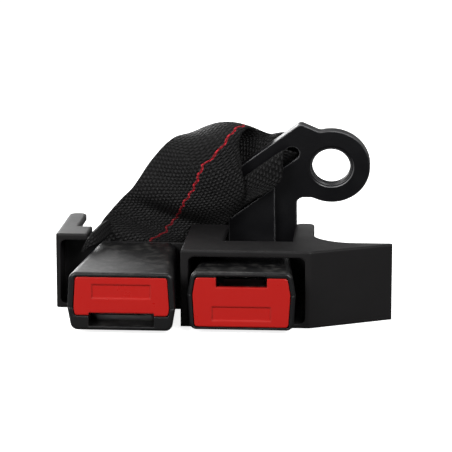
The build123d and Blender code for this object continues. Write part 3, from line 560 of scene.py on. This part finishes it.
# the strap's fold in the centre buckle: its middle, and half its width round the bar in the
# frame and in the mouth of the housing
BUCKLE_X = -37.4
FOLD_HALF = 11.5
MOUTH_HALF = 13.4


def level_web(y, z, half):
    """The three points of the web where it lies level across the centre buckle."""
    return [(BUCKLE_X - half, y, z), (BUCKLE_X, y, z), (BUCKLE_X + half, y, z)]


def round_bar(across, out, half=22.5, shift=0.0, sag=0.0):
    """The three points of the web beside the plate's bar: so far across the bar towards the
    slot, and so far out of the plate towards the buttons. shift slides it along the bar, and
    sag lowers its right edge."""
    points = []
    for along, share in ((half - shift, 0.0), (-shift, 0.45), (-half - shift, 1.0)):
        low = across + sag * share
        x, y = BAR_MIDDLE + low * ACROSS_BAR - along * ALONG_BAR
        points.append(tuple(EYE + (x, -y * np.sin(LEAN) - out * np.cos(LEAN),
                                   y * np.cos(LEAN) - out * np.sin(LEAN))))
    return points


STATIONS = MM * np.array([
    # round the bar in the buckle, and out of its mouth
    level_web(-1.5, 11.7, FOLD_HALF),
    level_web(1.6, 15.1, FOLD_HALF),
    level_web(7.4, 13.8, FOLD_HALF),
    level_web(14.4, 12.5, MOUTH_HALF),
    # up in front
    [(-51.8, 17.6, 17.4), (-37.0, 18.0, 15.8), (-22.6, 18.8, 15.0)],
    [(-57.0, 17.6, 24.0), (-35.2, 18.3, 20.3), (-19.0, 22.8, 16.4)],
    [(-54.1, 17.6, 30.5), (-32.5, 18.6, 24.4), (-15.5, 25.8, 18.2)],
    [(-48.3, 18.0, 38.6), (-17.5, 24.6, 27.5), (-6.5, 26.4, 23.8)],
    [(-44.2, 18.4, 43.2), (-17.8, 25.0, 33.0), (-2.4, 25.6, 29.4)],
    [(-39.8, 19.0, 47.6), (-18.5, 18.6, 39.0), (1.5, 24.3, 34.8)],
    [(-32.1, 20.5, 58.9), (-13.8, 16.6, 47.8), (7.4, 20.6, 44.9)],
    [(-24.8, 22.0, 67.0), (-9.5, 15.8, 58.2), (6.5, 19.2, 57.2)],
    [(-19.6, 25.5, 69.2), (-4.5, 19.0, 70.6), (5.6, 20.8, 68.9)],
    # over the bar of the plate, down behind it, forward through the slot and up before it
    [(-16.5, 30.0, 67.6), (-4.0, 25.5, 74.2), (8.2, 25.4, 72.2)],
    [(-14.5, 36.5, 57.0), (2.5, 33.0, 66.0), (18.4, 29.6, 69.4)],
    round_bar(2.7, -2.9, half=23.8, shift=3.2),
    round_bar(7.6, -3.4, half=23.8, shift=3.6, sag=6.2),
    round_bar(7.1, 0.0, half=23.6, shift=1.4, sag=2.9),
    round_bar(6.6, 2.9, half=23.4, shift=1.4, sag=1.6),
    round_bar(4.2, 5.2, half=23.0, shift=0.2),
    # down behind the front layer
    [(-16.5, 26.2, 38.2), (3.4, 22.6, 45.6), (23.4, 20.8, 52.4)],
    [(-23.5, 24.4, 40.8), (-2.0, 22.4, 43.8), (19.4, 22.6, 47.2)],
    [(-31.0, 23.2, 42.2), (-9.0, 22.4, 41.0), (12.4, 24.0, 43.0)],
    [(-38.5, 22.8, 40.2), (-16.0, 24.4, 37.0), (6.4, 25.5, 38.6)],
    [(-45.5, 20.8, 34.4), (-19.5, 26.6, 31.6), (0.5, 27.2, 32.4)],
    [(-50.2, 19.8, 26.0), (-24.0, 24.8, 23.4), (-7.0, 28.6, 24.0)],
    [(-51.0, 19.8, 20.0), (-32.5, 22.0, 17.4), (-14.5, 28.2, 17.6)],
    [(-51.4, 19.8, 15.0), (-36.0, 20.4, 13.6), (-20.5, 22.4, 13.2)],
    [(-51.0, 17.8, 11.3), (-37.0, 18.0, 11.1), (-22.6, 18.6, 11.0)],
    level_web(14.4, 10.9, MOUTH_HALF),
    level_web(7.4, 9.6, FOLD_HALF),
    level_web(1.6, 8.2, FOLD_HALF),
])
# how far across the web the coloured thread lies, as a share of the width, by station
THREAD = np.array([0.5] * 6 + [0.5, 0.33, 0.41, 0.49, 0.5, 0.5, 0.76, 0.92, 0.8, 0.6]
                  + [0.5] * 16)
WEB_THICKNESS = 1.3 * MM


def webbing_strap():
    """Tube round the band. At share s of the width the middle surface is the parabola
    L(1-s)(1-2s) + 4M s(1-s) + R s(2s-1) through the three lines. The surface lies half the
    thickness T from it, with T(s) = T (1 - |2s-1|^14)^(1/2), so the edges are rounded."""
    lines, along, place = smooth_lines(STATIONS, 0.9 * MM, close=True)
    lines = lines[:-1]
    half = 36  # steps across one face of the web
    s = 0.5 - 0.5 * np.cos(np.pi * np.arange(half + 1) / half)
    left, middle, right = (lines[:, k, None, :] for k in range(3))
    share = s[None, :, None]
    sheet = (left * (1 - share) * (1 - 2 * share) + 4 * middle * share * (1 - share)
             + right * share * (2 * share - 1))
    across = np.gradient(sheet, axis=1)
    run = np.roll(sheet, -1, axis=0) - np.roll(sheet, 1, axis=0)
    normal = np.cross(run, across)
    normal /= np.linalg.norm(normal, axis=2, keepdims=True)
    thick = 0.5 * WEB_THICKNESS * np.sqrt(np.clip(1 - np.abs(2 * s - 1) ** 14, 0, 1))
    upper = sheet + normal * thick[None, :, None]
    lower = sheet - normal * thick[None, :, None]
    loop = np.concatenate([upper, lower[:, -2:0:-1]], axis=1)
    # texture place in metres: across from the coloured thread, and along the middle
    steps = np.linalg.norm(np.diff(sheet, axis=1), axis=2)
    reach = np.concatenate([np.zeros((len(sheet), 1)), np.cumsum(steps, axis=1)], axis=1)
    thread = np.interp(along[:-1], place, np.append(THREAD, THREAD[0]))
    reach -= np.array([np.interp(t, s, row) for t, row in zip(thread, reach)])[:, None]
    u = np.concatenate([reach, reach[:, -2:0:-1], reach[:, :1]], axis=1)
    u = np.concatenate([u, u[:1]])
    weave = np.stack([u, np.broadcast_to(along[:, None], u.shape)], axis=2)
    inner = np.zeros(u.shape)
    inner[:, 1:half] = 1.0
    maps = {"weave": weave, "face": np.stack([inner, inner], axis=2)}
    return grid_mesh("webbing_strap", loop, maps, close_rows=True, close_columns=True)


strap = webbing_strap()
strap.data.materials.append(webbing)
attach(strap, "base")
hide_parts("strap")

# %% [markdown]
# The cut end of the web is folded back and sewn, and a narrow flap of it stands out at the
# lower left, over the rim of the boot. It is a short strip between two edges.

# %% Sewn flap
FLAP_WIDTH = 5.5 * MM
# so far beside the middle of the web that no coloured thread falls on the flap
BESIDE_THREAD = 10.0 * MM
FLAP = MM * np.array([
    [(-50.2, 17.6, 34.4), (-48.6, 16.6, 28.4)],
    [(-51.8, 13.0, 33.8), (-49.6, 12.0, 27.8)],
    [(-53.4, 6.0, 32.9), (-51.2, 4.6, 27.2)],
    [(-55.0, -1.4, 31.6), (-53.2, -1.8, 27.0)],
    [(-57.0, -2.6, 28.6), (-55.6, -2.8, 26.4)],
    [(-58.8, -2.4, 24.8), (-57.8, -2.6, 24.0)],
])


def sewn_flap():
    """Tube of half thickness T round the strip between the two smooth edges a and b: the
    ring at each station is a(1-s) + b s, out on one side and back on the other."""
    edges, along, _ = smooth_lines(FLAP, 0.7 * MM)
    s = np.linspace(0, 1, 9)[None, :, None]
    sheet = edges[:, :1] * (1 - s) + edges[:, 1:] * s
    run = np.gradient(sheet, axis=0)
    normal = np.cross(run, np.gradient(sheet, axis=1))
    normal /= np.linalg.norm(normal, axis=2, keepdims=True)
    thick = 0.5 * WEB_THICKNESS * np.sqrt(np.clip(1 - np.abs(2 * s - 1) ** 8, 0, 1))
    loop = np.concatenate([sheet + normal * thick, (sheet - normal * thick)[:, -2:0:-1]], axis=1)
    round_ring = np.concatenate([s[0, :, 0], s[0, -2:0:-1, 0], s[0, :1, 0]])
    across = BESIDE_THREAD + FLAP_WIDTH * round_ring
    weave = np.stack([np.broadcast_to(across, (len(along), len(across))),
                      np.broadcast_to(along[:, None], (len(along), len(across)))], axis=2)
    return grid_mesh("sewn_flap", loop, {"weave": weave, "face": 0 * weave},
                     close_columns=True, ends=True)


flap = sewn_flap()
flap.data.materials.append(webbing)
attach(flap, "base")

# %% [markdown]
# Four coil springs work inside the buckles: one behind each push button and one behind each
# ejector. Each is shorter when its piece is pressed back; here each is made as a helix in the
# box of its CAD node, at rest.

# %% Coil springs
TURNS = 6
TRAVEL = {"button": 5.0 * MM, "ejector": 10.0 * MM}
WIRE = {"button": 0.7 * MM, "ejector": 0.5 * MM}


def coil_spring(node, wire):
    """Helix along Y in the node's box. At share t the wire's middle is (R cos a, y, R sin a)
    with a = 2 pi TURNS t, and the wire is a circle round it, between radial and axial. The
    coil comes back with the rear upper corner of the box."""
    low, high = (np.array(corner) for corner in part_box(node))
    middle = (low + high) / 2
    # half the height across the wire's middle
    radius = (high[2] - low[2] - wire) / 2
    t = np.linspace(0, 1, 24 * TURNS + 1)[:, None]
    angle = 2 * np.pi * TURNS * t
    turn = 2 * np.pi * np.arange(10)[None, :] / 10
    reach = radius + wire / 2 * np.cos(turn)
    y = low[1] + wire / 2 + (high[1] - low[1] - wire) * t + wire / 2 * np.sin(turn)
    points = np.stack([middle[0] + reach * np.cos(angle), y,
                       middle[2] + reach * np.sin(angle)], axis=2)
    return grid_mesh(node.replace("spring", "coil"), points, close_columns=True, ends=True), high


for buckle in ("centre", "outboard"):
    for kind, travel in TRAVEL.items():
        node = f"{buckle}_{kind}_spring"
        coil, rear = coil_spring(node, WIRE[kind])
        coil.data.materials.append(spring_steel)
        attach(coil, "base")
        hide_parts(node)
        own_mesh(coil)


# %% [markdown]
# A photograph of a small product is lit by large soft lamps. A wide lamp overhead and a
# little behind gives a soft sheen on the tops, a reflector low behind on the left makes it
# brighter there, and two lamps in front make the red buttons clear and the black fronts
# readable. The floor is pale and plain to the camera, and darker to what it lights.

# %% Lights and floor
def soft_lamp(name, place, aim, size, power):
    """A square area lamp that points from its place to what it lights."""
    data = bpy.data.lights.new(name, "AREA")
    data.size = size
    data.energy = power
    lamp = bpy.data.objects.new(name, data)
    lamp.visible_camera = False
    bpy.context.scene.collection.objects.link(lamp)
    lamp.location = place
    lamp.rotation_euler = (Vector(place) - Vector(aim)).to_track_quat("Z", "Y").to_euler()


soft_lamp("top lamp", (-0.35, 0.3, 0.9), (0, 0, 0.03), 0.7, 3.2)
soft_lamp("left lamp", (-0.6, -0.8, 0.6), (0, 0, 0.03), 0.5, 9.0)
soft_lamp("right lamp", (0.6, -0.9, 0.7), (0, 0, 0.03), 0.5, 9.0)
soft_lamp("reflector", (-0.42, 0.6, 0.22), (-0.04, 0, 0.03), 0.5, 5.0)

world = bpy.data.worlds.new("studio")
bpy.context.scene.world = world
world.use_nodes = True
sky = world.node_tree
sky.nodes.clear()
light_path = add_node(sky, "LightPath")
sky_coords = add_node(sky, "TexCoord")
sky_split = add_node(sky, "SeparateXYZ")
join(sky, (sky_coords.outputs["Generated"], sky_split.inputs[0]))
behind = maths(sky, "ADD", maths(sky, "MULTIPLY", sky_split.outputs["Y"], 1.2), 0.1, clamp=True)
studio = maths(sky, "ADD", maths(sky, "MULTIPLY", behind, 0.42), 0.06)
seen = maths(sky, "MAXIMUM", studio, light_path.outputs["Is Camera Ray"])
background = add_node(sky, "Background")
sky_out = add_node(sky, "OutputWorld")
join(sky, (seen, background.inputs["Strength"]), (background.outputs[0], sky_out.inputs[0]))
background.inputs["Color"].default_value = (1, 1, 1, 1)

FLOOR_HALF = 4.0
floor = grid_mesh("floor", np.array([[(-FLOOR_HALF, -FLOOR_HALF, 0), (FLOOR_HALF, -FLOOR_HALF, 0)],
                                     [(-FLOOR_HALF, FLOOR_HALF, 0), (FLOOR_HALF, FLOOR_HALF, 0)]],
                                    float))
floor_material, floor_tree, floor_shader = new_material("floor")
floor_shader.inputs["Roughness"].default_value = 0.9
floor_shader.inputs["Emission Color"].default_value = (1, 1, 1, 1)
floor_path = add_node(floor_tree, "LightPath")
floor_glow = maths(floor_tree, "MULTIPLY", floor_path.outputs["Is Camera Ray"], 0.85)
floor_paint = blend_colours(floor_tree, floor_path.outputs["Is Camera Ray"],
                            (0.10, 0.10, 0.10), (0.80, 0.80, 0.80))
join(floor_tree, (floor_glow, floor_shader.inputs["Emission Strength"]),
     (floor_paint, floor_shader.inputs["Base Color"]))
floor.data.materials.append(floor_material)

# %% [markdown]
# The view layer is brought up to date at the end.

# %% Update
bpy.context.view_layer.update()
